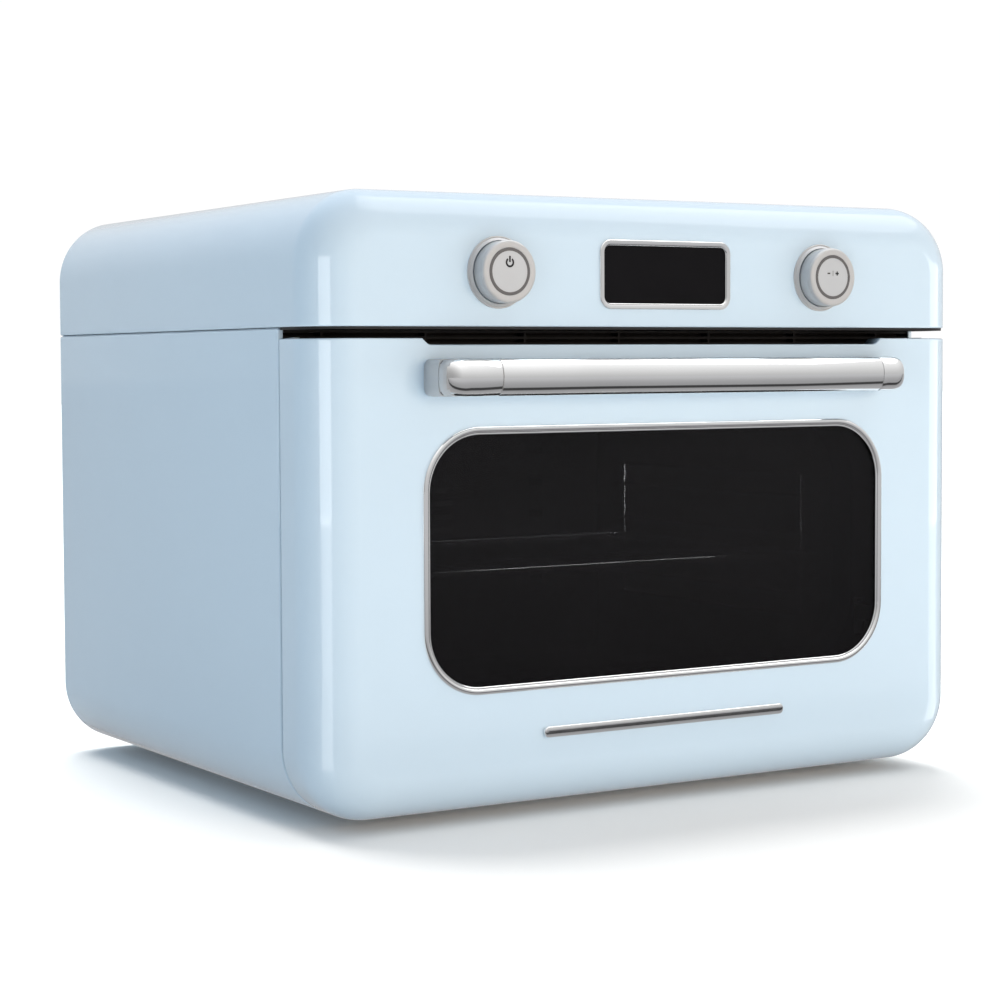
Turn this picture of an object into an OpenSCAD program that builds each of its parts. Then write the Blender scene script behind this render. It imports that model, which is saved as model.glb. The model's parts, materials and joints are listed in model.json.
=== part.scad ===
// Countertop oven with a drop-down glass door, two turn-and-press knobs and a display.
// Every piece is a separate solid. Drawn coordinates inside the body frame: X across,
// Y back from the front plane of the door, Z up from the underside of the body.

/* [Overall] */
// Width of the body
body_w = 497; // [430:1:600]
// Depth of the body from the door's front plane to its back edge
body_d = 398; // [330:1:480]
// Height of the body without its feet
body_h = 377; // [314:1:455]
// Height of the feet
foot_h = 7; // [6:1:14]

/* [Casing] */
// Radius of the body's corners seen from the front
corner_r = 44; // [36:1:54]
// Radius of the rounded front edge
edge_r = 29; // [22:1:34]
// Thickness of the sheet metal skins
sheet_t = 1.2; // [1:0.1:1.5]
// Width of the skins' folded edges
lip_w = 3.6; // [2.5:0.1:4.5]
// Height of the upper casing that carries the controls
cover_h = 81.7; // [78:0.1:98]
// Width of the seam behind the door
seam_gap = 1.6; // [1.4:0.1:2.5]
// Width of the seam under the upper casing
cover_seam = 1; // [0.6:0.1:1.5]
// How far the back panel is set in
back_inset = 3; // [2:0.5:8]
// Thickness of the plate under the control panel
under_plate_t = 1.6; // [1.2:0.1:2]
// Distance between the vent grille's dividers
grille_pitch = 72.5; // [50:0.5:90]

/* [Door] */
// Thickness of the door
door_t = 46.8; // [42:0.1:52]
// Gap between the door and the control panel
door_gap = 6.9; // [6:0.1:9]
// Width of the finger notch at its top
notch_w = 354; // [280:1:370]
// Depth of the finger notch
notch_d = 3.9; // [2:0.1:4.2]
// Distance from the side of the body to the window trim
window_side = 70.9; // [64:0.1:90]
// Distance from the underside of the body to the window trim
window_bottom = 73.4; // [66:0.1:85]
// Distance from the top of the door to the window trim
window_top = 52.9; // [46:0.1:64]
// Corner radius of the window trim
window_r = 39.5; // [30:0.5:46]
// Width of the window trim
trim_w = 4.8; // [4:0.1:7]
// How far the window trim stands out
trim_proud = 1.6; // [1:0.1:3]
// Thickness of the door's panes
glass_t = 4; // [3:0.5:5]
// Distance from the side of the body to the middle of a hinge arm
hinge_side = 50.5; // [49:0.5:54]
// Distance of the hinge pin behind the front plane
pivot_y = 11; // [10:0.5:12]
// Height of the hinge pin above the underside of the body
pivot_z = 16; // [15:0.5:17]
// Radius of the hinge pins
pin_r = 2.5; // [2:0.1:3]
// Running clearance of a pin or shaft, all round
run_gap = 0.05; // [0.03:0.01:0.08]

/* [Handle] */
// Distance from the side of the body to the handle's end
handle_side = 71.9; // [60:0.1:90]
// Distance from the top of the door down to the middle of the handle
handle_drop = 23.5; // [18:0.1:28]
// Height of the handle
handle_h = 22.2; // [16:0.1:26]
// How far the handle reaches out in front of the door
handle_reach = 32; // [28:0.5:32]
// Thickness of the grip from front to back
grip_t = 15; // [12:0.5:16]
// Length of the left handle end piece
left_end_l = 36.1; // [22:0.1:45]
// Length of the right handle end piece
right_end_l = 24.6; // [22:0.1:45]
// Wall thickness of the hollow grip
grip_wall = 2; // [1.5:0.1:3]

/* [Controls] */
// Distance from the top of the body down to the controls' centre line
control_drop = 49.2; // [47:0.1:51]
// Distance from the middle of the body to each knob
knob_x = 124.3; // [100:0.1:150]
// Radius of the knobs
knob_r = 18.8; // [15:0.1:20]
// How far the knobs stand out
knob_reach = 13.5; // [11:0.1:15]
// How far the knobs can be pressed in
knob_travel = 1.8; // [1:0.1:2]
// Width of the display with its bezel
display_w = 100.8; // [80:0.1:130]
// Height of the display with its bezel
display_h = 43.1; // [34:0.1:46]
// Width of the display bezel
bezel_w = 3.8; // [2:0.1:5]

/* [Cavity] */
// Distance from the side of the body to the cavity
cavity_side = 68.5; // [64:0.1:90]
// Height of the cavity floor above the underside of the body
cavity_floor = 46; // [42:0.5:56]
// Distance from the top of the door down to the cavity roof
roof_drop = 17.4; // [16:0.1:30]
// Distance from the cavity's back wall to the back of the body
rear_space = 62; // [60:0.5:90]
// Thickness of the cavity's sheet metal
cavity_t = 0.8; // [0.6:0.1:1.2]
// Corner radius of the cavity
cavity_r = 12; // [8:1:20]
// Thickness of the insulation at the sides
insulation_t = 20; // [10:1:24]
// Thickness of the insulation above, below and behind the cavity
insulation_thin = 12; // [8:0.5:12]

/* [Racks] */
// Height of the lowest rung above the cavity floor
first_rung = 50; // [30:1:55]
// Distance between the rack levels
level_pitch = 42; // [30:1:44]
// Distance between the two rungs of one level
rung_gap = 15.5; // [12:0.5:20]
// Radius of the rack wires
wire_r = 1.5; // [1.2:0.1:2]
// Radius of the wire shelf's frame
shelf_r = 2; // [1.6:0.1:2.5]
// Distance between the wire shelf's bars
shelf_pitch = 16; // [12:0.5:25]

/* [Air and heat] */
// Height left between the fan's heating ring and the oven's roof
ring_drop = 34.5; // [33:0.1:45]
// Distance from the fan's rim to the middle of its heating ring
fan_clearance = 12; // [8:0.5:20]
// Radius of the heating tubes
tube_r = 3.3; // [2.5:0.1:4]
// Radius of the cooling blower's rotor
blower_r = 24; // [18:0.5:26]
// Length of the cooling blower's rotor
blower_l = 150; // [100:1:180]

/* [Hidden] */
$fn = 64;

// Small distances shared by several pieces
fit_gap = 0.4;      // between pieces that sit next to each other
cut = 1;            // overrun of a cutting solid
body_blue = "#c9dcec";
side = [-1, 1];

// Where things are, in the body frame
front_y = (handle_reach - body_d) / 2;
half_w = body_w / 2;
split_z = body_h - cover_h;
door_top = split_z - door_gap;
casing_y = door_t + seam_gap;
frame_y = casing_y + 3.6;
frame_t = 1.5;
cavity_front = frame_y + frame_t;
cavity_w = body_w - 2 * cavity_side;
cavity_roof = door_top - roof_drop;
cavity_h = cavity_roof - cavity_floor;
cavity_mid = cavity_floor + cavity_h / 2;
cavity_back = body_d - rear_space;
panel_y = body_d - back_inset - sheet_t;

notch_run = 4.5;    // length of the notch's slanted ends

// Window and panes
window_w = body_w - 2 * window_side;
window_h = door_top - window_bottom - window_top;
window_mid = window_bottom + window_h / 2;
trim_lap = 1.5;     // overlap of the trim on the door skin
pane_lap = 10;      // overlap of a pane behind its opening
outer_glass_y = sheet_t + fit_gap;
liner_t = 1.2;
liner_y = door_t - sheet_t - 0.2 - liner_t;
inner_glass_y = liner_y - fit_gap - glass_t;

// Hinges
arm_x = half_w - hinge_side;
arm_t = 3;
arm_r = 5;
arm_rise = 84;
ear_t = 2;
ear_gap = 2.5;
slot_half = arm_t / 2 + ear_gap + ear_t - 0.5;
foot_plate_t = 2;

// Handle
handle_half = half_w - handle_side;
handle_z = door_top - handle_drop;
grip_left = left_end_l - handle_half;
grip_right = handle_half - right_end_l;
grip_back = -handle_reach + grip_t;
grip_r = 7;
end_r = 13.6;
leg_w = 18;

// Controls
control_z = body_h - control_drop;
knob_base = knob_travel + 0.4;    // free space behind the knob
bezel_r = knob_r + 2.1;
knob_wall = 2.2;
ring_out = 14.2;
ring_wide = 1.9;
ring_depth = 2;
hub_r = 8;
hub_hole_r = 9;
shaft_r = 3;
sleeve_r = 4.5;
encoder_w = 14;
encoder_y = 6;
encoder_t = 8;
board_y = encoder_y + encoder_t + 0.2;
board_t = 1.6;
shaft_end = board_y + 6;

// Inside
rack_x = cavity_w / 2 - 6.5;
rung_x = rack_x - 2 * wire_r + 0.4;
rack_front = cavity_front + 23.5;
rack_back = cavity_back - 46;
rung_z0 = cavity_floor + first_rung;
shelf_front = cavity_front + 6.5;
shelf_back = rack_back + 6;
rail_x = rung_x - 1.4;
rail_rise = sqrt(pow(wire_r + shelf_r, 2) - pow(rung_x - rail_x, 2));
shelf_z = rung_z0 + level_pitch + rail_rise;
bar_r = 1.2;
fan_box_d = 32;
fan_box_w = 230;
ring_r = cavity_h / 2 - ring_drop;
fan_r = ring_r - fan_clearance;
fan_blade_l = fan_r / 2 - 3;
fan_box_h = 2 * ring_r + 14;
fan_y = cavity_back - 14;
ring_y = cavity_back - 17;
motor_r = 30;
insulation_back = cavity_back + cavity_t + insulation_thin;
motor_y = insulation_back + 2;
motor_l = panel_y - 8 - motor_y;
lamp_x = fan_box_w / 2 + 26;
lamp_z = cavity_roof - 32;
lamp_r = 18;
grill_z = cavity_roof - 16;
grill_pitch = 40;
grill_runs = 6;
grill_front = cavity_front + 40;
grill_back = cavity_back - fan_box_d - 34;
floor_pocket = 9;
floor_tube_z = cavity_floor - cavity_t - floor_pocket / 2;
floor_tube_x = 90;
floor_bend = 20;
insulation_bottom = cavity_floor - cavity_t - floor_pocket - insulation_thin;
duct_floor = cavity_roof + cavity_t + fit_gap + insulation_thin + 0.6;
duct_h = 14;
duct_w = 300;
duct_t = 1;
grille_y = casing_y + sheet_t + fit_gap;
grille_d = 12;
duct_front = cavity_front + 14;
blower_y = body_d - 108;
blower_z = duct_floor + duct_h + blower_r + 7;
housing_t = 1;
housing_r = blower_r + 3.5;
duct_back = blower_y - housing_r - 1;
ring_leg_a = 8;
ring_leg_x = ring_r * sin(ring_leg_a);
ring_leg_z = ring_r * cos(ring_leg_a);
grill_leg_x = grill_pitch * (grill_runs - 1) / 2;
probe_r = 2;
probe_l = 30;
rail_front = cavity_front + 30;
rail_back = cavity_back - 20;

// Back and underside
foot_x = half_w - corner_r - 34;
slots_half = 9;
slot_pitch = 18;
slot_w = 6;
slot_h = 36;
slot_z = [split_z + 18, cavity_mid - 30];
inlet_w = 50;
inlet_h = 28;
inlet_x = half_w - 90;
inlet_z = 44;
screw_r = 1.9;
screw_places = [
  for (sx = side, z = [30, cavity_mid, split_z + 12, body_h - 30])
    [sx * (half_w - (z < 40 || z > body_h - 40 ? 34 : 14)), z]
];

// ---- shared shapes ----

// Puts its children into the part's own frame
module in_body() {
  translate([0, front_y, foot_h]) children();
}

// Rectangle with round corners, about its centre
module round_rect(w, h, r) {
  square([w - 2 * r, h], center = true);
  square([w, h - 2 * r], center = true);
  for (sx = side, sy = side) {
    translate([sx * (w / 2 - r), sy * (h / 2 - r)]) circle(r);
  }
}

// Solid from a front-view outline, from y towards the back by depth
module from_front(y, depth) {
  translate([0, y + depth, 0]) rotate([90, 0, 0]) linear_extrude(depth) children();
}

// Solid from a side-view outline (y, z), centred on x and as wide as width
module from_side(x, width) {
  translate([x - width / 2, 0, 0]) rotate([90, 0, 90]) linear_extrude(width) children();
}

// Solid turned about an axis along Y, from an outline (radius, y)
module turned(x, z) {
  translate([x, 0, z]) rotate([-90, 0, 0]) rotate_extrude() children();
}

module rod_y(x, z, r, y0, y1) {
  translate([x, y0, z]) rotate([-90, 0, 0]) cylinder(h = y1 - y0, r = r);
}

module rod_x(y, z, r, x0, x1) {
  translate([x0, y, z]) rotate([0, 90, 0]) cylinder(h = x1 - x0, r = r);
}

module rod_z(x, y, r, z0, z1) {
  translate([x, y, z0]) cylinder(h = z1 - z0, r = r);
}

module box_at(x0, x1, y0, y1, z0, z1) {
  translate([x0, y0, z0]) cube([x1 - x0, y1 - y0, z1 - z0]);
}

// Outline of a sheet that reaches out by reach, turns through r and runs back to depth
module edge_sheet(reach, depth, r) {
  difference() {
    edge_outline(reach, depth, r);
    translate([0, sheet_t]) edge_outline(reach - sheet_t, depth, r - sheet_t);
  }
}

module edge_outline(reach, depth, r) {
  translate([0, r]) square([reach, depth - r]);
  square([reach - r, r]);
  intersection() {
    translate([reach - r, r]) circle(r);
    translate([reach - r, 0]) square([r, r]);
  }
}

// Side view of the body with both front edges rounded
module side_outline(depth, height, r) {
  translate([r, 0]) square([depth - r, height]);
  translate([0, r]) square([r, height - 2 * r]);
  translate([r, r]) circle(r);
  translate([r, height - r]) circle(r);
}

// The body's skin between two heights, open at the back: a middle length, two sides,
// and the round corners that lie between those heights
module body_skin(depth, z0, z1) {
  from_side(0, body_w - 2 * corner_r) intersection() {
    difference() {
      side_outline(depth, body_h, edge_r);
      translate([sheet_t, sheet_t])
        side_outline(depth, body_h - 2 * sheet_t, edge_r - sheet_t);
    }
    translate([0, z0]) square([depth, z1 - z0]);
  }
  side_z0 = max(z0, corner_r);
  side_z1 = min(z1, body_h - corner_r);
  for (flip = [0, 1]) mirror([flip, 0, 0]) {
    translate([half_w - corner_r, 0, side_z0])
      linear_extrude(side_z1 - side_z0) edge_sheet(corner_r, depth, edge_r);
    translate([half_w - corner_r, 0, z0 < corner_r ? corner_r : body_h - corner_r])
      mirror([0, 0, z0 < corner_r ? 0 : 1]) rotate([-90, 0, 0])
        rotate_extrude(angle = 90) edge_sheet(corner_r, depth, edge_r);
  }
}

// Front view of the body, set in all round
module body_outline(inset) {
  translate([0, body_h / 2])
    round_rect(body_w - 2 * inset, body_h - 2 * inset, corner_r - inset);
}

// Front view of the body between two heights, as a frame of the given width
module outline_band(inset, width, z0, z1) {
  intersection() {
    difference() {
      body_outline(inset);
      body_outline(inset + width);
    }
    translate([-half_w, z0]) square([body_w, z1 - z0]);
  }
}

module cavity_outline(grow) {
  translate([0, cavity_mid])
    round_rect(cavity_w + 2 * grow, cavity_h + 2 * grow, cavity_r + grow);
}

module window_outline(grow) {
  translate([0, window_mid])
    round_rect(window_w + 2 * grow, window_h + 2 * grow, window_r + grow);
}

// ---- casing ----

module top_cover() {
  color(body_blue) in_body() difference() {
    body_skin(body_d, split_z, body_h);
    from_front(-cut, sheet_t + 2 * cut) translate([0, control_z])
      round_rect(display_w - 2 * trim_lap, display_h - 2 * trim_lap, 5);
    for (sx = side) {
      rod_y(sx * knob_x, control_z, hub_hole_r, -cut, sheet_t + cut);
    }
  }
}

module lower_casing() {
  casing_top = split_z - cover_seam;
  color(body_blue) in_body() {
    from_front(casing_y, sheet_t) outline_band(0, lip_w, -cut, casing_top);
    from_front(casing_y + sheet_t, body_d - casing_y - sheet_t)
      outline_band(0, sheet_t, -cut, casing_top);
  }
}

module rear_panel() {
  socket_w = inlet_w + 2 * fit_gap;
  color("#b9c2c9") in_body() difference() {
    from_front(panel_y, sheet_t) body_outline(sheet_t + fit_gap);
    for (row = [0, 1], i = [-slots_half:slots_half]) {
      box_at(i * slot_pitch - slot_w / 2, i * slot_pitch + slot_w / 2,
             panel_y - cut, body_d, slot_z[row], slot_z[row] + slot_h);
    }
    box_at(inlet_x - socket_w / 2, inlet_x + socket_w / 2, panel_y - cut, body_d,
           inlet_z - inlet_h / 2 - fit_gap, inlet_z + inlet_h / 2 + fit_gap);
    for (p = screw_places) {
      rod_y(p[0], p[1], screw_r + 0.1, panel_y - cut, body_d);
    }
  }
}

// Black plate that closes the control panel from below
module under_plate() {
  inset = 1.2;
  plate_w = body_w - 2 * inset;
  color("#1c1c1e") in_body()
    translate([0, inset, split_z - under_plate_t]) linear_extrude(under_plate_t)
      for (flip = [0, 1]) mirror([flip, 0]) {
        edge_outline(plate_w / 2, door_t - inset, edge_r - inset);
      }
}

module vent_grille() {
  top = split_z - cover_seam - fit_gap;
  bottom = cavity_roof + cavity_t + 2 * fit_gap + insulation_thin;
  bar = 1.6;
  span = half_w - sheet_t - fit_gap;
  dividers = floor((span - 10) / grille_pitch);
  color("#202022") in_body() {
    for (z = [top - bar, (top + bottom - bar) / 2, bottom]) {
      box_at(-span, span, grille_y, grille_y + grille_d, z, z + bar);
    }
    for (i = [-dividers:dividers], x = i * grille_pitch) {
      box_at(x - bar / 2, x + bar / 2, grille_y + 1, grille_y + grille_d - 1,
             bottom + bar, top - bar);
    }
    for (sx = side) {
      box_at(sx * (span - bar / 2) - bar / 2, sx * (span - bar / 2) + bar / 2,
             grille_y, grille_y + grille_d, bottom, top);
    }
  }
}

module front_frame() {
  color("#3a3d40") in_body() from_front(frame_y, frame_t) difference() {
    intersection() {
      body_outline(sheet_t + fit_gap);
      translate([-half_w, 0]) square([body_w, cavity_roof + insulation_thin / 2]);
    }
    cavity_outline(0);
  }
}

module base_rails() {
  rail_w = 24;
  rail_t = 1.5;
  rail_half = half_w - corner_r - 2;
  color("#9aa0a5") in_body() for (y = [rail_front, rail_back]) difference() {
    box_at(-rail_half, rail_half, y - rail_w / 2, y + rail_w / 2,
           sheet_t, insulation_bottom);
    box_at(-rail_half - cut, rail_half + cut, y - rail_w / 2 + rail_t,
           y + rail_w / 2 - rail_t, 0, insulation_bottom - rail_t);
  }
}

// ---- cavity and what heats it ----

module oven_cavity() {
  color("#4a4d50") in_body() difference() {
    from_front(cavity_front, cavity_back + cavity_t - cavity_front)
      cavity_outline(cavity_t);
    from_front(cavity_front - cut, cavity_back - cavity_front + cut) cavity_outline(0);
    wall_holes(cavity_back - cut, cavity_back + cavity_t + cut);
  }
}

// Holes in the cavity's back wall for what passes through it
module wall_holes(y0, y1) {
  rod_y(0, cavity_mid, hub_r, y0, y1);
  for (sx = side) {
    rod_y(sx * ring_leg_x, cavity_mid + ring_leg_z, tube_r + 0.5, y0, y1);
    rod_y(sx * grill_leg_x, grill_z, tube_r + 0.5, y0, y1);
  }
  rod_y(-lamp_x, lamp_z, lamp_r - 2, y0, y1);
  rod_y(lamp_x, lamp_z, probe_r + 0.1, y0, y1);
}

module insulation() {
  inner = cavity_t + fit_gap;
  top = cavity_roof + inner + insulation_thin;
  color("#e6e2d6") in_body() difference() {
    box_at(-cavity_w / 2 - inner - insulation_t, cavity_w / 2 + inner + insulation_t,
           cavity_front + fit_gap, insulation_back, insulation_bottom, top);
    box_at(-cavity_w / 2 - inner, cavity_w / 2 + inner, cavity_front - cut,
           cavity_back + inner, insulation_bottom + insulation_thin, cavity_roof + inner);
    wall_holes(cavity_back, insulation_back + cut);
    rod_y(-lamp_x, lamp_z, lamp_r + fit_gap, cavity_back, insulation_back + cut);
    for (sx = side) {
      rod_y(sx * floor_tube_x, floor_tube_z, tube_r + 0.5, cavity_back,
            insulation_back + cut);
    }
  }
}

module door_gasket() {
  gasket_w = 6;
  color("#2a2a2c") in_body() from_front(liner_y + liner_t + fit_gap,
                                        frame_y - liner_y - liner_t - fit_gap)
    difference() {
      cavity_outline(3 + gasket_w);
      cavity_outline(3);
    }
}

// Pressed cover in front of the fan and its heating ring
module fan_cover() {
  cover_y = cavity_back - fan_box_d;
  sheet = 0.8;
  color("#55585b") in_body() difference() {
    from_front(cover_y, fan_box_d) translate([0, cavity_mid])
      round_rect(fan_box_w, fan_box_h, 14);
    from_front(cover_y + sheet, fan_box_d) translate([0, cavity_mid])
      round_rect(fan_box_w - 2 * sheet, fan_box_h - 2 * sheet, 14 - sheet);
    for (row = [-2:2]) {
      box_at(-26, 26, cover_y - cut, cover_y + 2, cavity_mid + row * 10 - 2,
             cavity_mid + row * 10 + 2);
    }
    for (sx = side, row = [-2:2]) {
      box_at(sx * 92 - 14, sx * 92 + 14, cover_y - cut, cover_y + 2,
             cavity_mid + row * 24 - 3, cavity_mid + row * 24 + 3);
    }
  }
}

// Collar that holds a heating tube against the cavity's back wall
module wall_collar(x, z) {
  rod_y(x, z, tube_r + 3, cavity_back - 1.5, cavity_back);
}

module ring_heater() {
  gap = 2 * ring_leg_a;
  color("#6d6a66") in_body() {
    translate([0, ring_y, cavity_mid]) rotate([-90, 0, 0])
      rotate([0, 0, -90 + ring_leg_a]) rotate_extrude(angle = 360 - gap)
        translate([ring_r, 0]) circle(tube_r);
    for (sx = side) {
      rod_y(sx * ring_leg_x, cavity_mid + ring_leg_z, tube_r, ring_y - tube_r,
            insulation_back + 8);
      wall_collar(sx * ring_leg_x, cavity_mid + ring_leg_z);
    }
  }
}

// Tube bend of half a turn in a level plane, at the front or the back of two runs
module level_bend(x, y, z, r, turn, start) {
  translate([x, y, z]) rotate([0, 0, start]) rotate_extrude(angle = turn)
    translate([r, 0]) circle(tube_r);
}

module grill_heater() {
  last = grill_runs - 1;
  color("#6d6a66") in_body() {
    for (i = [0:last], x = i * grill_pitch - grill_leg_x) {
      rod_y(x, grill_z, tube_r, grill_front,
            i == 0 || i == last ? insulation_back + 8 : grill_back);
    }
    for (i = [0:last - 1], x = (i + 0.5) * grill_pitch - grill_leg_x) {
      level_bend(x, i % 2 ? grill_back : grill_front, grill_z, grill_pitch / 2, 180,
                 i % 2 ? 0 : 180);
    }
    for (sx = side) {
      wall_collar(sx * grill_leg_x, grill_z);
    }
  }
}

module bottom_heater() {
  front = cavity_front + 50;
  color("#6d6a66") in_body() {
    for (sx = side) {
      rod_y(sx * floor_tube_x, floor_tube_z, tube_r, front + floor_bend,
            insulation_back + 8);
      level_bend(sx * (floor_tube_x - floor_bend), front + floor_bend, floor_tube_z,
                 floor_bend, 90, sx > 0 ? -90 : 180);
      box_at(sx * floor_tube_x - 5, sx * floor_tube_x + 5, rail_back - 60,
             rail_back - 52, floor_tube_z, cavity_floor - cavity_t);
    }
    rod_x(front, floor_tube_z, tube_r, floor_bend - floor_tube_x,
          floor_tube_x - floor_bend);
  }
}

module fan_motor() {
  color("#8d9297") in_body() difference() {
    union() {
      rod_y(0, cavity_mid, motor_r, motor_y, motor_y + motor_l);
      rod_y(0, cavity_mid, hub_r, motor_y - 2, motor_y);
      box_at(-56, 56, motor_y + 4, motor_y + 7, cavity_mid - 12, cavity_mid + 12);
    }
    rod_y(0, cavity_mid, shaft_r + run_gap, motor_y - cut - 2, motor_y + motor_l - 4);
  }
}

// ---- racks and fittings in the cavity ----

module rack_support(sx) {
  top = rung_z0 + 2 * level_pitch + rung_gap;
  color("#b8bcc0") in_body() {
    for (y = [rack_front, rack_back]) {
      rod_z(sx * rack_x, y, wire_r, rung_z0 - wire_r, top + wire_r);
      for (z = [rung_z0 + rung_gap / 2, top - rung_gap / 2]) {
        rod_x(y, z, 2.5, sx > 0 ? rack_x : -cavity_w / 2, sx > 0 ? cavity_w / 2 : -rack_x);
      }
    }
    for (level = [0:2], rung = [0, 1]) {
      rod_y(sx * rung_x, rung_z0 + level * level_pitch + rung * rung_gap, wire_r,
            rack_front - 3, rack_back + 3);
    }
  }
}

module rack_support_left() {
  rack_support(-1);
}

module rack_support_right() {
  rack_support(1);
}

module wire_shelf() {
  bar_drop = shelf_r + bar_r - 0.4;
  bars = floor((rail_x - 6) / shelf_pitch);
  color("#c9ccd0") in_body() {
    rod_x(shelf_front, shelf_z, shelf_r, -rail_x - 7, rail_x + 7);
    rod_x(shelf_back, shelf_z, shelf_r, -rail_x - shelf_r, rail_x + shelf_r);
    for (sx = side) {
      rod_y(sx * rail_x, shelf_z, shelf_r, shelf_front, shelf_back);
    }
    for (i = [-bars:bars]) {
      rod_y(i * shelf_pitch, shelf_z - bar_drop, bar_r, shelf_front - 2.5,
            shelf_back + 2);
    }
  }
}

module lamp_lens() {
  color("#f2efe4") in_body() turned(-lamp_x, lamp_z) {
    translate([0, cavity_back - 3]) square([lamp_r, 3]);
    translate([0, cavity_back]) square([lamp_r - 2.2, cavity_t]);
  }
}

module lamp_holder() {
  lamp_y = cavity_back + cavity_t;
  color("#dedad0") in_body() {
    rod_y(-lamp_x, lamp_z, lamp_r - 0.5, lamp_y, insulation_back + 4);
    box_at(-lamp_x - 9, -lamp_x + 9, insulation_back + 4, insulation_back + 12,
           lamp_z - 3, lamp_z + 3);
  }
}

module temperature_probe() {
  color("#a9aeb2") in_body() {
    rod_y(lamp_x, lamp_z, probe_r, cavity_back - probe_l, insulation_back + 4);
    rod_y(lamp_x, lamp_z, 5, insulation_back + 4, insulation_back + 14);
  }
}

module thermal_cutout() {
  color("#2b2b2d") in_body() {
    rod_z(duct_w / 2 + 30, cavity_back - 90, 9, duct_floor - 0.6, duct_floor + 8);
    box_at(duct_w / 2 + 24, duct_w / 2 + 36, cavity_back - 103, cavity_back - 77,
           duct_floor + 8, duct_floor + 9);
  }
}

// ---- cooling air ----

module cooling_duct() {
  color("#a8adb1") in_body() difference() {
    box_at(-duct_w / 2, duct_w / 2, duct_front, duct_back, duct_floor,
           duct_floor + duct_h);
    box_at(duct_t - duct_w / 2, duct_w / 2 - duct_t, duct_front - cut, duct_back + cut,
           duct_floor + duct_t, duct_floor + duct_h - duct_t);
  }
}

// Round housing of the blower, open below towards the duct, with an end plate each side
module blower_housing() {
  plate_x = blower_l / 2 + 5;
  color("#9ca1a6") in_body() {
    from_side(0, 2 * plate_x) intersection() {
      translate([blower_y, blower_z]) difference() {
        circle(housing_r);
        circle(housing_r - housing_t);
      }
      translate([blower_y - housing_r, blower_z - 14])
        square([2 * housing_r, 2 * housing_r]);
    }
    for (sx = side) {
      difference() {
        box_at(sx * (plate_x + housing_t / 2) - housing_t / 2,
               sx * (plate_x + housing_t / 2) + housing_t / 2,
               duct_back, blower_y + housing_r,
               duct_floor - 0.6, blower_z + housing_r);
        rod_x(blower_y, blower_z, hub_r, -plate_x - 5, plate_x + 5);
      }
    }
  }
}

module blower_motor() {
  x0 = blower_l / 2 + 5 + housing_t + fit_gap;
  color("#3b3e42") in_body() difference() {
    union() {
      rod_x(blower_y, blower_z, blower_r - 2, x0, x0 + 34);
      box_at(x0 + 8, x0 + 26, blower_y - 16, blower_y + 16, duct_floor + fit_gap,
             blower_z);
    }
    rod_x(blower_y, blower_z, shaft_r + run_gap, x0 - cut, x0 + 24);
  }
}

module blower_rotor() {
  half = blower_l / 2;
  blades = 16;
  color("#c4c8cc") in_body() {
    for (x = [-half, -0.5, half - 1]) {
      rod_x(blower_y, blower_z, blower_r, x, x + 1);
    }
    for (i = [0:blades - 1]) {
      translate([0, blower_y, blower_z]) rotate([i * 360 / blades, 0, 0])
        translate([-half, blower_r - 7, -0.4]) cube([blower_l, 6, 0.8]);
    }
    rod_x(blower_y, blower_z, shaft_r, half, half + 28);
    rod_x(blower_y, blower_z, shaft_r, -half - 8, -half);
  }
}

module convection_fan() {
  blades = 12;
  color("#8f9498") in_body() {
    rod_y(0, cavity_mid, fan_r, fan_y, fan_y + 1);
    rod_y(0, cavity_mid, 9, fan_y - 6, fan_y);
    for (i = [0:blades - 1]) {
      translate([0, fan_y - 12, cavity_mid]) rotate([0, i * 360 / blades, 0])
        translate([fan_r - 2 - fan_blade_l, 0, -0.5]) cube([fan_blade_l, 12.5, 1]);
    }
    rod_y(0, cavity_mid, shaft_r, fan_y + 1, motor_y + motor_l - 8);
  }
}

// ---- electronics ----

module power_board() {
  z = duct_floor + duct_h + 6;
  y0 = duct_front + 16;
  color("#2f6b46") in_body() {
    box_at(-150, 20, y0, y0 + 110, z, z + board_t);
    box_at(-140, -104, y0 + 10, y0 + 44, z + board_t, z + 30);
    box_at(-92, -60, y0 + 60, y0 + 88, z + board_t, z + 22);
    for (i = [0:3]) {
      box_at(-50 + i * 17, -38 + i * 17, y0 + 12, y0 + 34, z + board_t, z + 18);
    }
    for (x = [-144, 14], y = [y0 + 5, y0 + 105]) {
      rod_z(x, y, 2.5, duct_floor + duct_h, z);
    }
  }
}

module control_board() {
  half_l = knob_x + 22;
  color("#2f6b46") in_body() difference() {
    box_at(-half_l, half_l, board_y, board_y + board_t, control_z - 24, control_z + 24);
    for (sx = side) {
      rod_y(sx * knob_x, control_z, shaft_r + 1, board_y - cut, board_y + board_t + cut);
    }
  }
}

module display_module() {
  w = display_w - 2 * bezel_w;
  h = display_h - 2 * bezel_w;
  color("#26282b") in_body()
    box_at(-w / 2, w / 2, 5, board_y - 0.1, control_z - h / 2, control_z + h / 2);
}

module display_glass() {
  color("#101114") in_body() from_front(0.9, 2.6) translate([0, control_z])
    round_rect(display_w - 2 * bezel_w, display_h - 2 * bezel_w, 3);
}

module display_bezel() {
  hole_w = display_w - 2 * trim_lap - 2 * 0.15;
  hole_h = display_h - 2 * trim_lap - 2 * 0.15;
  glass_w = display_w - 2 * bezel_w + 0.2;
  glass_h = display_h - 2 * bezel_w + 0.2;
  color("#d8dadc") in_body() {
    from_front(-1.2, 1.2) translate([0, control_z]) difference() {
      round_rect(display_w, display_h, 6.5);
      round_rect(glass_w, glass_h, 3.1);
    }
    from_front(0, 3.5) translate([0, control_z]) difference() {
      round_rect(hole_w, hole_h, 4.8);
      round_rect(glass_w, glass_h, 3.1);
    }
  }
}

// ---- knobs ----

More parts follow.
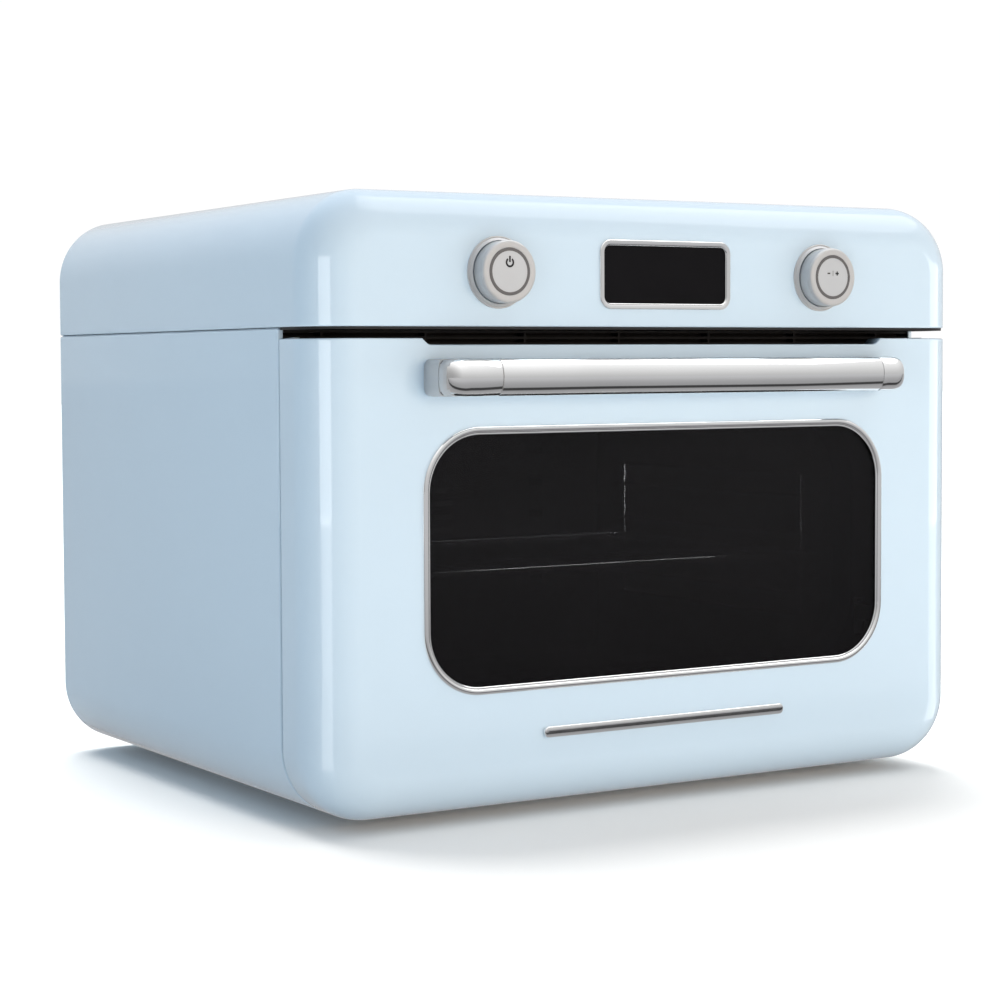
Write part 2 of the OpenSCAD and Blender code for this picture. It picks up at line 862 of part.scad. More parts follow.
module knob_bezels() {
  color("#d8dadc") in_body() for (sx = side) turned(sx * knob_x, control_z) difference() {
    translate([knob_r + 0.6, -3.2]) square([bezel_r - knob_r - 0.6, 3.2]);
    translate([bezel_r, -3.2]) rotate(45) square(1.4, center = true);
  }
}

module encoder(x) {
  color("#5b5f63") in_body() difference() {
    box_at(x - encoder_w / 2, x + encoder_w / 2, encoder_y, encoder_y + encoder_t,
           control_z - encoder_w / 2, control_z + encoder_w / 2);
    rod_y(x, control_z, sleeve_r + run_gap, encoder_y - cut, encoder_y + encoder_t + cut);
  }
}

module encoder_rotor(x) {
  color("#c9b074") in_body() turned(x, control_z)
    translate([shaft_r + run_gap, encoder_y + 0.5])
      square([sleeve_r - shaft_r - run_gap, encoder_t - 1]);
}

// Cup-shaped knob with a hub and a shaft that slides in the encoder's sleeve
module knob(x) {
  front = -knob_reach;
  round = 1.6;
  color("#dcdee0") in_body() turned(x, control_z) difference() {
    union() {
      translate([0, front + round]) square([knob_r, knob_reach - knob_base - round]);
      translate([0, front]) square([knob_r - round, round]);
      translate([knob_r - round, front + round]) circle(round);
      translate([0, -knob_base]) square([hub_r, knob_base + 3]);
      translate([0, 3]) square([shaft_r, shaft_end - 3]);
    }
    translate([0, front - cut]) square([ring_out + 0.1, ring_depth + cut + 0.2]);
    translate([hub_r, front + ring_depth + knob_wall])
      square([knob_r - knob_wall - hub_r, knob_reach]);
    translate([hub_r, sheet_t + 4]) square([knob_r, knob_reach]);
  }
}

module knob_ring(x) {
  color("#3a3c3f") in_body() turned(x, control_z)
    translate([ring_out - ring_wide, 0.2 - knob_reach]) square([ring_wide, ring_depth]);
}

module knob_cap(x) {
  color("#c8cacc") in_body() turned(x, control_z)
    translate([0, 0.2 - knob_reach]) square([ring_out - ring_wide - 0.1, ring_depth]);
}

module left_encoder() {
  encoder(-knob_x);
}

module right_encoder() {
  encoder(knob_x);
}

module left_encoder_rotor() {
  encoder_rotor(-knob_x);
}

module right_encoder_rotor() {
  encoder_rotor(knob_x);
}

module left_knob() {
  knob(-knob_x);
}

module right_knob() {
  knob(knob_x);
}

module left_knob_ring() {
  knob_ring(-knob_x);
}

module right_knob_ring() {
  knob_ring(knob_x);
}

module left_knob_cap() {
  knob_cap(-knob_x);
}

module right_knob_cap() {
  knob_cap(knob_x);
}

// ---- back and underside ----

module inlet_socket() {
  flange = 4;
  depth = 22;
  color("#18181a") in_body() difference() {
    union() {
      box_at(inlet_x - inlet_w / 2, inlet_x + inlet_w / 2, panel_y - depth,
             panel_y + sheet_t, inlet_z - inlet_h / 2, inlet_z + inlet_h / 2);
      box_at(inlet_x - inlet_w / 2 - flange, inlet_x + inlet_w / 2 + flange,
             panel_y + sheet_t, panel_y + sheet_t + 2, inlet_z - inlet_h / 2 - flange,
             inlet_z + inlet_h / 2 + flange);
    }
    box_at(inlet_x - 14, inlet_x + 14, panel_y - depth + 4, body_d, inlet_z - 9,
           inlet_z + 9);
  }
}

module feet() {
  foot_r = 15;
  color("#232325") in_body()
    for (sx = side, y = [rail_front - 8, rail_back + 8]) {
      translate([sx * foot_x, y, -foot_h]) {
        cylinder(h = foot_h - 1.5, r1 = foot_r - 2, r2 = foot_r);
        translate([0, 0, foot_h - 1.5]) cylinder(h = 1.5, r = foot_r);
      }
    }
}

module rear_screws() {
  color("#2c2d30") in_body() for (p = screw_places) {
    rod_y(p[0], p[1], 3.6, panel_y + sheet_t, panel_y + sheet_t + 1.5);
    rod_y(p[0], p[1], screw_r, panel_y - 6, panel_y + sheet_t);
  }
}

// ---- door ----

module door_skin() {
  color(body_blue) in_body() {
    difference() {
      body_skin(door_t, 0, door_top);
      from_front(-cut, sheet_t + 2 * cut) window_outline(-trim_lap);
      from_front(-cut, edge_r) polygon([
        [notch_w / 2, door_top + cut], [notch_w / 2, door_top],
        [notch_w / 2 - notch_run, door_top - notch_d],
        [notch_run - notch_w / 2, door_top - notch_d],
        [-notch_w / 2, door_top], [-notch_w / 2, door_top + cut]
      ]);
    }
    from_front(door_t - sheet_t, sheet_t)
      outline_band(sheet_t, lip_w - sheet_t, -cut, door_top);
  }
}

module window_trim() {
  color("#d8dadc") in_body() {
    from_front(-trim_proud, trim_proud) difference() {
      window_outline(0);
      window_outline(-trim_w);
    }
    from_front(0, sheet_t) difference() {
      window_outline(-trim_lap - 0.15);
      window_outline(-trim_w);
    }
  }
}

module outer_glass() {
  color("#0c0d0e", 0.6) in_body() from_front(outer_glass_y, glass_t)
    window_outline(pane_lap - trim_lap);
}

module inner_glass() {
  color("#202224", 0.4) in_body() from_front(inner_glass_y, glass_t)
    window_outline(pane_lap - trim_lap);
}

// Inner sheet of the door: back plate round the window, and a top plate
module door_liner() {
  top = door_top - notch_d - 1.2;
  inset = sheet_t + fit_gap;
  color("#2e3033") in_body() {
    from_front(liner_y, liner_t) difference() {
      intersection() {
        body_outline(inset);
        translate([-half_w, 0]) square([body_w, top]);
      }
      window_outline(-trim_w);
      for (sx = side) {
        translate([sx * arm_x - slot_half, pivot_z - arm_r - 3])
          square([2 * slot_half, arm_rise + 2 * arm_r + 8]);
      }
    }
    box_at(edge_r - half_w, half_w - edge_r, sheet_t + 2, liner_y, top - liner_t, top);
  }
}

module handle_bar() {
  color("#dddfe1") in_body()
    from_side((grip_left + grip_right) / 2, grip_right - grip_left)
      translate([(grip_back - handle_reach) / 2, handle_z]) difference() {
        round_rect(grip_t, handle_h, grip_r);
        round_rect(grip_t - 2 * grip_wall, handle_h - 2 * grip_wall, grip_r - grip_wall);
      }
}

// Cast end of the handle, running from the grip at the distance start back to the door
module handle_end(start) {
  color("#dddfe1") in_body()
    translate([0, 0, handle_z - handle_h / 2]) linear_extrude(handle_h) {
      polygon([
        [start, grip_back], [start, -handle_reach], [handle_half - end_r, -handle_reach],
        [handle_half, end_r - handle_reach], [handle_half, 0], [handle_half - leg_w, 0],
        [handle_half - leg_w, grip_back]
      ]);
      intersection() {
        translate([handle_half - end_r, end_r - handle_reach]) circle(end_r);
        translate([handle_half - end_r, -handle_reach]) square(end_r);
      }
    }
}

module handle_end_left() {
  mirror([1, 0, 0]) handle_end(-grip_left);
}

module handle_end_right() {
  handle_end(grip_right);
}

// Plain bar in place of a name
module door_badge() {
  badge_w = 186;
  badge_h = 7;
  badge_t = 2.4;
  badge_z = window_bottom - 26.4;
  color("#d8dadc") in_body() from_front(-badge_t, badge_t) translate([0, badge_z])
    round_rect(badge_w, badge_h, badge_h / 2 - 0.5);
}

// Two ears each side of an arm, with feet against the door's inner sheet
module hinge_brackets() {
  ear_x = arm_t / 2 + ear_gap;
  foot_h2 = 22;
  color("#b0b4b8") in_body() for (sx = side, out = side) {
    mid = sx * arm_x + out * (ear_x + ear_t / 2);
    difference() {
      union() {
        rod_x(pivot_y, pivot_z, arm_r, mid - ear_t / 2, mid + ear_t / 2);
        box_at(mid - ear_t / 2, mid + ear_t / 2, pivot_y, liner_y,
               pivot_z - arm_r, pivot_z + arm_r);
        box_at(mid - ear_t / 2, mid + ear_t / 2, liner_y - 6, liner_y,
               pivot_z - arm_r, pivot_z - arm_r + foot_h2);
      }
      rod_x(pivot_y, pivot_z, pin_r, mid - ear_t, mid + ear_t);
    }
  }
}

module hinge_pins() {
  reach = arm_t / 2 + ear_gap + ear_t;
  color("#8f9498") in_body() for (sx = side) {
    rod_x(pivot_y, pivot_z, pin_r, sx * arm_x - reach, sx * arm_x + reach);
    for (out = side) {
      head = sx * arm_x + out * (reach + 0.5);
      rod_x(pivot_y, pivot_z, pin_r + 1.2, head - 0.5, head + 0.5);
    }
  }
}

// Swan-neck arm: up from the pin inside the door, then back to the front frame
module hinge_arm(sx) {
  elbow_z = pivot_z + arm_rise;
  color("#a4a8ac") in_body() difference() {
    union() {
      from_side(sx * arm_x, arm_t) {
        translate([pivot_y, pivot_z]) circle(arm_r);
        translate([pivot_y - arm_r, pivot_z]) square([2 * arm_r, arm_rise]);
        translate([pivot_y, elbow_z]) circle(arm_r);
        translate([pivot_y, elbow_z - arm_r])
          square([frame_y - foot_plate_t - pivot_y, 2 * arm_r]);
      }
      box_at(sx * arm_x - 8, sx * arm_x + 8, frame_y - foot_plate_t, frame_y,
             elbow_z - 16, elbow_z + 16);
    }
    rod_x(pivot_y, pivot_z, pin_r + run_gap, sx * arm_x - arm_t, sx * arm_x + arm_t);
  }
}

module hinge_arm_left() {
  hinge_arm(-1);
}

module hinge_arm_right() {
  hinge_arm(1);
}

top_cover();
lower_casing();
rear_panel();
under_plate();
vent_grille();
front_frame();
base_rails();
oven_cavity();
insulation();
door_gasket();
fan_cover();
ring_heater();
grill_heater();
bottom_heater();
fan_motor();
rack_support_left();
rack_support_right();
wire_shelf();
lamp_lens();
lamp_holder();
temperature_probe();
thermal_cutout();
cooling_duct();
blower_housing();
blower_motor();
power_board();
control_board();
display_module();
display_glass();
display_bezel();
knob_bezels();
left_encoder();
right_encoder();
inlet_socket();
feet();
rear_screws();
hinge_arm_left();
hinge_arm_right();
convection_fan();
blower_rotor();
left_encoder_rotor();
right_encoder_rotor();
left_knob();
right_knob();
left_knob_ring();
right_knob_ring();
left_knob_cap();
right_knob_cap();
door_skin();
window_trim();
outer_glass();
inner_glass();
door_liner();
handle_bar();
handle_end_left();
handle_end_right();
door_badge();
hinge_brackets();
hinge_pins();
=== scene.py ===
"""Looks of a countertop oven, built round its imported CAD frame.

Lengths are in metres. MM turns a size in millimetres into metres.
"""
import json
import math

import bmesh
import bpy
from mathutils import Matrix, Vector


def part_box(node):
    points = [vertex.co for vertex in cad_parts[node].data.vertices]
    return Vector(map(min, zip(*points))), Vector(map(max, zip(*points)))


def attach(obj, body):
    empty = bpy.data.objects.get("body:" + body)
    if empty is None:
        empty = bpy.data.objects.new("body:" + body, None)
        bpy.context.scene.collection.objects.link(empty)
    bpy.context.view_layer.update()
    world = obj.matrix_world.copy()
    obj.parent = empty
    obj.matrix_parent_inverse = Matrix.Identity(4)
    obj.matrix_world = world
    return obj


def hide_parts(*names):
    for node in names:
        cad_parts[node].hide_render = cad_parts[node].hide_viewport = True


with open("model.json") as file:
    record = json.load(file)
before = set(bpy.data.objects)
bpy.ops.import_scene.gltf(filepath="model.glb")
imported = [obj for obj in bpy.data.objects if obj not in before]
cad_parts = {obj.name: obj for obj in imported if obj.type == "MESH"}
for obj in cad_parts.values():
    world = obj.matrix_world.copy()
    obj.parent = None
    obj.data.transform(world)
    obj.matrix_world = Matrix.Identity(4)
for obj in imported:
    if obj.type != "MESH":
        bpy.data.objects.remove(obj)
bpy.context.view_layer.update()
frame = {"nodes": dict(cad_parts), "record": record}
MM = 0.001


# ---- places taken from the frame ----

def low(node):
    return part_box(node)[0]


def high(node):
    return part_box(node)[1]


def middle(node):
    return (low(node) + high(node)) / 2


FRONT = low("door_skin").y
BACK = high("top_cover").y
BOTTOM = low("door_skin").z
TOP = high("top_cover").z
HALF_W = high("top_cover").x
SPLIT = low("top_cover").z
DOOR_TOP = high("door_skin").z


# ---- camera, floor and light ----

CAMERA_PLACE = (-0.862, -1.3559, 0.2799)
CAMERA_YAW, CAMERA_PITCH, CAMERA_ROLL = 30.196, -2.946, -0.358
CAMERA_LENS = 82.73
CAMERA_SHIFT = (0.08, -0.0174)
AIM_Z = 0.2


def make_camera():
    """Camera at the photograph's viewing angle."""
    yaw, pitch, roll = (math.radians(a) for a in (CAMERA_YAW, CAMERA_PITCH, CAMERA_ROLL))
    ahead = Vector((math.sin(yaw) * math.cos(pitch), math.cos(yaw) * math.cos(pitch),
                    math.sin(pitch)))
    level = Vector((math.cos(yaw), -math.sin(yaw), 0))
    up = level.cross(ahead)
    right = level * math.cos(roll) + up * math.sin(roll)
    up = up * math.cos(roll) - level * math.sin(roll)
    data = bpy.data.cameras.new("camera")
    data.lens = CAMERA_LENS
    data.shift_x, data.shift_y = CAMERA_SHIFT
    camera = bpy.data.objects.new("camera", data)
    turn = Matrix((right, up, -ahead)).transposed().to_4x4()
    camera.matrix_world = Matrix.Translation(CAMERA_PLACE) @ turn
    bpy.context.scene.collection.objects.link(camera)
    bpy.context.scene.camera = camera


def area_light(name, place, target, size, power, colour=(1, 1, 1)):
    data = bpy.data.lights.new(name, "AREA")
    data.shape = "RECTANGLE"
    data.size, data.size_y = size
    data.energy = power
    data.color = colour
    light = bpy.data.objects.new(name, data)
    light.location = place
    aim = Vector(target) - Vector(place)
    light.rotation_euler = aim.to_track_quat("-Z", "Y").to_euler()
    bpy.context.scene.collection.objects.link(light)
    return light


def around(azimuth, elevation, distance):
    """Point at a distance from the body's middle. Azimuth 0 is in front, 90 on the left."""
    az, el = math.radians(azimuth), math.radians(elevation)
    flat = distance * math.cos(el)
    return (-flat * math.sin(az), -flat * math.cos(az), AIM_Z + distance * math.sin(el))


# Stops of the surround: place between the two ends of an axis, and colour. WORLD_UP goes from
# below to above and WORLD_ACROSS from left to right. WORLD_SOFT goes from left to right too,
# and tints only the soft light.
WORLD_UP = ((0.5, (0.58, 0.58, 0.58)), (0.75, (0.95, 0.95, 0.95)), (0.9, (1.2, 1.2, 1.2)))
WORLD_ACROSS = ((0.05, (0.62, 0.62, 0.62)), (0.36, (1.0, 1.0, 1.0)))
WORLD_SOFT = ((0.05, (0.42, 0.60, 0.80)), (0.36, (0.50, 0.545, 0.60)))
BACKDROP = (1.02, 1.02, 1.02, 1)


def make_world():
    """Surroundings that brighten upwards and are dimmer and cooler on the left."""
    world = bpy.data.worlds.new("studio")
    world.use_nodes = True
    nodes, links = world.node_tree.nodes, world.node_tree.links
    background = nodes["Background"]
    place = nodes.new("ShaderNodeTexCoord")
    split = nodes.new("ShaderNodeSeparateXYZ")
    links.new(place.outputs["Generated"], split.inputs[0])

    def ramp(axis, stops):
        """Colour by one axis of the direction, from -1 at the first end to 1 at the last."""
        half = nodes.new("ShaderNodeMath")
        half.operation = "MULTIPLY_ADD"
        half.inputs[1].default_value = 0.5
        half.inputs[2].default_value = 0.5
        node = nodes.new("ShaderNodeValToRGB")
        for _ in stops[2:]:
            node.color_ramp.elements.new(0.5)
        for stop, (position, colour) in zip(node.color_ramp.elements, stops):
            stop.position = position
            stop.color = (*colour, 1)
        links.new(split.outputs[axis], half.inputs[0])
        links.new(half.outputs[0], node.inputs[0])
        return node.outputs[0]

    def mix(blend="MIX"):
        node = nodes.new("ShaderNodeMix")
        node.data_type = "RGBA"
        node.blend_type = blend
        return node

    both = mix("MULTIPLY")
    both.inputs["Factor"].default_value = 1
    links.new(ramp("Z", WORLD_UP), both.inputs["A"])
    links.new(ramp("X", WORLD_ACROSS), both.inputs["B"])
    path = nodes.new("ShaderNodeLightPath")
    soft = mix("MULTIPLY")
    links.new(ramp("X", WORLD_SOFT), soft.inputs["B"])
    links.new(path.outputs["Is Diffuse Ray"], soft.inputs["Factor"])
    links.new(both.outputs["Result"], soft.inputs["A"])
    seen = mix()
    seen.inputs["B"].default_value = BACKDROP
    links.new(path.outputs["Is Camera Ray"], seen.inputs["Factor"])
    links.new(soft.outputs["Result"], seen.inputs["A"])
    links.new(seen.outputs["Result"], background.inputs[0])
    bpy.context.scene.world = world


FLOOR_SIZE = 30
FLOOR_COLOUR = (0.93, 0.92, 0.89, 1)


def make_floor():
    bpy.ops.mesh.primitive_plane_add(size=FLOOR_SIZE, location=(0, 0, low("feet").z))
    floor = bpy.context.object
    floor.name = "floor"
    paint = bpy.data.materials.new("floor_paint")
    paint.use_nodes = True
    shader = paint.node_tree.nodes["Principled BSDF"]
    shader.inputs["Base Color"].default_value = FLOOR_COLOUR
    shader.inputs["Roughness"].default_value = 0.8
    shader.inputs["Specular IOR Level"].default_value = 0.1
    floor.data.materials.append(paint)


def reflected_card(name, corners, height, shade, clear=False):
    """Card above the floor that shows only in reflections. shade fills in its emission."""
    bm = bmesh.new()
    bm.faces.new([bm.verts.new((x, y, low("feet").z + height)) for x, y in corners])
    mesh = bpy.data.meshes.new(name)
    bm.to_mesh(mesh)
    bm.free()
    card = bpy.data.objects.new(name, mesh)
    bpy.context.scene.collection.objects.link(card)
    paint = bpy.data.materials.new(name + "_paint")
    paint.use_nodes = True
    nodes, links = paint.node_tree.nodes, paint.node_tree.links
    glow = nodes.new("ShaderNodeEmission")
    shade(nodes, links, glow)
    surface = glow
    if clear:
        surface = nodes.new("ShaderNodeAddShader")
        links.new(glow.outputs[0], surface.inputs[0])
        links.new(nodes.new("ShaderNodeBsdfTransparent").outputs[0], surface.inputs[1])
    links.new(surface.outputs[0], nodes["Material Output"].inputs["Surface"])
    mesh.materials.append(paint)
    card.visible_camera = False
    card.visible_diffuse = False
    card.visible_shadow = False
    card.visible_transmission = False


# Greys of the apron by their distance in front of the door, out to APRON_END.
APRON = ((0.0, 0.42), (0.15, 0.34), (0.185, 0.05), (0.285, 0.05), (0.31, 0.34), (0.7, 0.42),
         (1.3, 0.52), (2.9, 0.58))
APRON_END = 3
APRON_HALF = 30
APRON_Z, WEDGE_Z = 0.002, 0.004

# The wedges: name, side of the body, first and last azimuth, and radiance.
WEDGES = (("left_wedge", -1, 42, 67, 2.2), ("right_wedge", 1, -78, -45, 1.8))
WEDGE_NEAR, WEDGE_FAR = 0.1, 2.6


def make_apron():
    """Grey apron all round with a dark band across it in front of the body."""
    def shade(nodes, links, glow):
        place = nodes.new("ShaderNodeTexCoord")
        split = nodes.new("ShaderNodeSeparateXYZ")
        ahead = nodes.new("ShaderNodeMapRange")
        ahead.inputs["From Min"].default_value = FRONT
        ahead.inputs["From Max"].default_value = FRONT - APRON_END
        ramp = nodes.new("ShaderNodeValToRGB")
        for _ in range(len(APRON) - 2):
            ramp.color_ramp.elements.new(0.5)
        for stop, (far, grey) in zip(ramp.color_ramp.elements, APRON):
            stop.position = far / APRON_END
            stop.color = (grey, grey, grey * 1.02, 1)
        links.new(place.outputs["Object"], split.inputs[0])
        links.new(split.outputs["Y"], ahead.inputs["Value"])
        links.new(ahead.outputs["Result"], ramp.inputs[0])
        links.new(ramp.outputs[0], glow.inputs["Color"])

    corners = [(sx * APRON_HALF, sy * APRON_HALF)
               for sx, sy in ((-1, 1), (1, 1), (1, -1), (-1, -1))]
    reflected_card("apron", corners, APRON_Z, shade)


def make_wedges():
    """Bright wedges on the floor that carry the side strips' reflections down."""
    for name, side, first, last, radiance in WEDGES:
        def shade(nodes, links, glow):
            glow.inputs["Strength"].default_value = radiance

        corners = []
        for far, azimuth in ((WEDGE_NEAR, first), (WEDGE_FAR, first), (WEDGE_FAR, last),
                             (WEDGE_NEAR, last)):
            az = math.radians(azimuth)
            corners.append((side * (HALF_W - EDGE_R * MM) - far * math.sin(az),
                            FRONT + EDGE_R * MM - far * math.cos(az)))
        reflected_card(name, corners, WEDGE_Z, shade, clear=True)


def make_lights():
    """Soft boxes whose reflections run along the rounded edges, and a broad top light."""
    front = (0, FRONT, AIM_Z)
    area_light("left_strip", around(54.5, 2, 2.6), front, (1.15, 0.8), 10)
    area_light("right_strip", around(-61.5, 0, 2.6), front, (1.5, 0.8), 10.5)
    area_light("overhead", around(-75, 60, 2.2), (0, 0, 0.3), (1.6, 1.96), 14)
    key = area_light("key", around(-14, 7, 3.0), front, (1.6, 1.0), 45, (1.0, 0.74, 0.52))
    fill = area_light("low_fill", (0, FRONT - 0.35, 0.04), (0, FRONT, 0.06), (0.5, 0.05), 0.55)
    fill.visible_camera = False
    data = bpy.data.lights.new("top_light", "SUN")
    data.energy = 3.3
    data.angle = math.radians(44)
    top_light = bpy.data.objects.new("top_light", data)
    top_light.rotation_euler = (math.radians(-29), math.radians(4), 0)
    bpy.context.scene.collection.objects.link(top_light)
    for light in (key, fill, top_light):
        light.visible_glossy = False


# ---- materials ----

# The share of a noise's range that its colours and values spread over.
NOISE_LOW, NOISE_HIGH = 0.3, 0.7


def noise(nodes, links, coords, scale, detail=3.0):
    tex = nodes.new("ShaderNodeTexNoise")
    tex.inputs["Scale"].default_value = scale
    tex.inputs["Detail"].default_value = detail
    links.new(coords.outputs["Object"], tex.inputs["Vector"])
    return tex


def spread(nodes, links, value, low_value, high_value):
    """A texture's value spread between two numbers."""
    node = nodes.new("ShaderNodeMapRange")
    node.inputs["From Min"].default_value = NOISE_LOW
    node.inputs["From Max"].default_value = NOISE_HIGH
    node.inputs["To Min"].default_value = low_value
    node.inputs["To Max"].default_value = high_value
    links.new(value, node.inputs["Value"])
    return node.outputs["Result"]


def material(name, colour, rough, metallic=0.0, tint=0.03, tint_scale=25.0,
             rough_vary=0.04, bump_scale=300.0, bump=0.02, grain=None, **sockets):
    """Procedural finish: colour, roughness and relief each vary by their own noise."""
    mat = bpy.data.materials.new(name)
    mat.use_nodes = True
    nodes, links = mat.node_tree.nodes, mat.node_tree.links
    shader = nodes["Principled BSDF"]
    coords = nodes.new("ShaderNodeTexCoord")
    shade = noise(nodes, links, coords, tint_scale)
    ramp = nodes.new("ShaderNodeValToRGB")
    darker, lighter = ramp.color_ramp.elements
    darker.position, lighter.position = NOISE_LOW, NOISE_HIGH
    darker.color = (*[c * (1 - tint) for c in colour], 1)
    lighter.color = (*[min(1, c * (1 + tint)) for c in colour], 1)
    links.new(shade.outputs["Fac"], ramp.inputs["Fac"])
    links.new(ramp.outputs["Color"], shader.inputs["Base Color"])
    worn = noise(nodes, links, coords, tint_scale * 3)
    links.new(spread(nodes, links, worn.outputs["Fac"], rough - rough_vary,
                     rough + rough_vary), shader.inputs["Roughness"])
    relief = noise(nodes, links, coords, bump_scale)
    if grain:
        stretch = nodes.new("ShaderNodeMapping")
        stretch.inputs["Scale"].default_value = grain
        links.new(coords.outputs["Object"], stretch.inputs["Vector"])
        links.new(stretch.outputs["Vector"], relief.inputs["Vector"])
    lift = nodes.new("ShaderNodeBump")
    lift.inputs["Strength"].default_value = bump
    lift.inputs["Distance"].default_value = 0.001
    links.new(relief.outputs["Fac"], lift.inputs["Height"])
    links.new(lift.outputs["Normal"], shader.inputs["Normal"])
    shader.inputs["Metallic"].default_value = metallic
    for socket, value in sockets.items():
        shader.inputs[socket.replace("_", " ")].default_value = value
    return mat


FINISHES = {
    "enamel": material("enamel", (0.385, 0.495, 0.59), 0.42, tint=0.006, tint_scale=6,
                       rough_vary=0.03, bump_scale=220, bump=0.006, Coat_Weight=1.0,
                       Coat_Roughness=0.03, Specular_IOR_Level=0.2),
    "galvanised": material("galvanised", (0.55, 0.58, 0.60), 0.38, 0.9, tint=0.12,
                           tint_scale=60, rough_vary=0.1, bump=0.05),
    "black_plastic": material("black_plastic", (0.018, 0.018, 0.02), 0.45, tint=0.1,
                              rough_vary=0.06, bump_scale=1500, bump=0.08,
                              Specular_IOR_Level=0.25),
    "motor_black": material("motor_black", (0.04, 0.04, 0.045), 0.4, tint=0.15, bump=0.1),
    "ceramic": material("ceramic", (0.78, 0.74, 0.66), 0.5, bump_scale=900, bump=0.1),
    "mineral_wool": material("mineral_wool", (0.72, 0.66, 0.5), 0.95, tint=0.2,
                             tint_scale=150, bump_scale=700, bump=0.8),
    "dark_steel": material("dark_steel", (0.03, 0.031, 0.034), 0.3, 0.3, tint=0.1,
                           bump_scale=500, bump=0.03),
    "cavity_enamel": material("cavity_enamel", (0.035, 0.036, 0.039), 0.28, tint=0.3,
                              tint_scale=900, rough_vary=0.06, bump_scale=350, bump=0.04),
    "gasket": material("gasket", (0.02, 0.02, 0.022), 0.6, bump_scale=900, bump=0.1),
    "heater_tube": material("heater_tube", (0.22, 0.2, 0.18), 0.42, 0.85, tint=0.25,
                            tint_scale=40, rough_vary=0.1),
    "bare_steel": material("bare_steel", (0.52, 0.53, 0.54), 0.34, 1.0, tint=0.06,
                           rough_vary=0.08, grain=(1, 1, 14), bump=0.05),
    "wire_chrome": material("wire_chrome", (0.7, 0.71, 0.73), 0.18, 1.0, tint=0.05),
    "lamp_glass": material("lamp_glass", (0.9, 0.88, 0.8), 0.12, Alpha=0.55),
    "circuit_board": material("circuit_board", (0.03, 0.16, 0.08), 0.4, tint=0.25,
                              tint_scale=300),
    "display_glass": material("display_glass", (0.005, 0.005, 0.006), 0.08, tint=0.1,
                              rough_vary=0.02, bump=0.004, Specular_IOR_Level=0.06),
    "chrome": material("chrome", (0.86, 0.86, 0.86), 0.08, 1.0, tint=0.015,
                       rough_vary=0.02, bump=0.004),
    "foot_rubber": material("foot_rubber", (0.02, 0.02, 0.02), 0.75, bump_scale=1200,
                            bump=0.2),
    "screw_black": material("screw_black", (0.03, 0.03, 0.034), 0.35, 0.6, bump=0.05),
    "aluminium": material("aluminium", (0.7, 0.71, 0.72), 0.32, 1.0, grain=(14, 1, 1)),
    "brass": material("brass", (0.66, 0.5, 0.22), 0.28, 1.0),
    "ring_grey": material("ring_grey", (0.09, 0.09, 0.095), 0.3, bump=0.01),
    "satin_chrome": material("satin_chrome", (0.47, 0.485, 0.50), 0.34, 0.4, tint=0.01,
                             rough_vary=0.01, bump=0.002),
    "satin_cap": material("satin_cap", (0.48, 0.51, 0.54), 0.36, 0.4, tint=0.02,
                          rough_vary=0.03, bump=0.01),
    "door_glass": material("door_glass", (0.004, 0.004, 0.005), 0.06, tint=0.1,
                           rough_vary=0.02, bump=0.002, Alpha=0.7,
                           Specular_IOR_Level=0.15),
    "inner_glass": material("inner_glass", (0.5, 0.52, 0.53), 0.05, rough_vary=0.02,
                            bump=0.002, Alpha=0.12),
}


def paint_frame():
    """Gives each CAD node the finish of its slot."""
    for part in frame["record"]["subparts"]:
        node = frame["nodes"][part["node"]]
        node.data.materials.clear()
        node.data.materials.append(FINISHES[part["material_slot"]])


# ---- mesh helpers ----

def add_piece(name, bm, body, slot, replaced=(), sharp=35, thickness=0.0, flat_front=False,
              finish=None):
    """Makes an object from a bmesh, in millimetres, and rides it on its body.

    finish is the look where it isn't the one named like the slot.
    """
    bmesh.ops.scale(bm, vec=(MM, MM, MM), verts=bm.verts)
    bmesh.ops.translate(bm, vec=(0, FRONT, BOTTOM), verts=bm.verts)
    mesh = bpy.data.meshes.new(name)
    bm.to_mesh(mesh)
    bm.free()
    piece = bpy.data.objects.new(name, mesh)
    bpy.context.scene.collection.objects.link(piece)
    if thickness:
        solid = piece.modifiers.new("sheet", "SOLIDIFY")
        solid.thickness = thickness * MM
        solid.offset = -1
        solid.use_quality_normals = True
        graph = bpy.context.evaluated_depsgraph_get()
        mesh = bpy.data.meshes.new_from_object(piece.evaluated_get(graph))
        piece.modifiers.clear()
        piece.data = mesh
        mesh.name = name
    for face in mesh.polygons:
        face.use_smooth = True
    mesh.set_sharp_from_angle(angle=math.radians(sharp))
    if flat_front:
        ahead = [(0, -1, 0) if abs(v.co.y - FRONT) < 1e-6 else (0, 0, 0)
                 for v in mesh.vertices]
        mesh.normals_split_custom_set_from_vertices(ahead)
    mesh.materials.append(FINISHES[finish or slot])
    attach(piece, body)
    if replaced:
        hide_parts(*replaced)
    return piece


def arc(centre, radius, start, end, steps):
    """Points of an arc in a plane, angles in degrees."""
    out = []
    for i in range(steps + 1):
        a = math.radians(start + (end - start) * i / steps)
        out.append((centre[0] + radius * math.cos(a), centre[1] + radius * math.sin(a)))
    return out


def round_rect(w, h, r, steps=20):
    """Outline of a rectangle with round corners: x, z and the outward normal."""
    out = []
    for sx, sz, start in ((1, 1, 0), (-1, 1, 90), (-1, -1, 180), (1, -1, 270)):
        for nx, nz in arc((0, 0), 1, start, start + 90, steps):
            out.append((sx * (w / 2 - r) + r * nx, sz * (h / 2 - r) + r * nz, nx, nz))
    return out


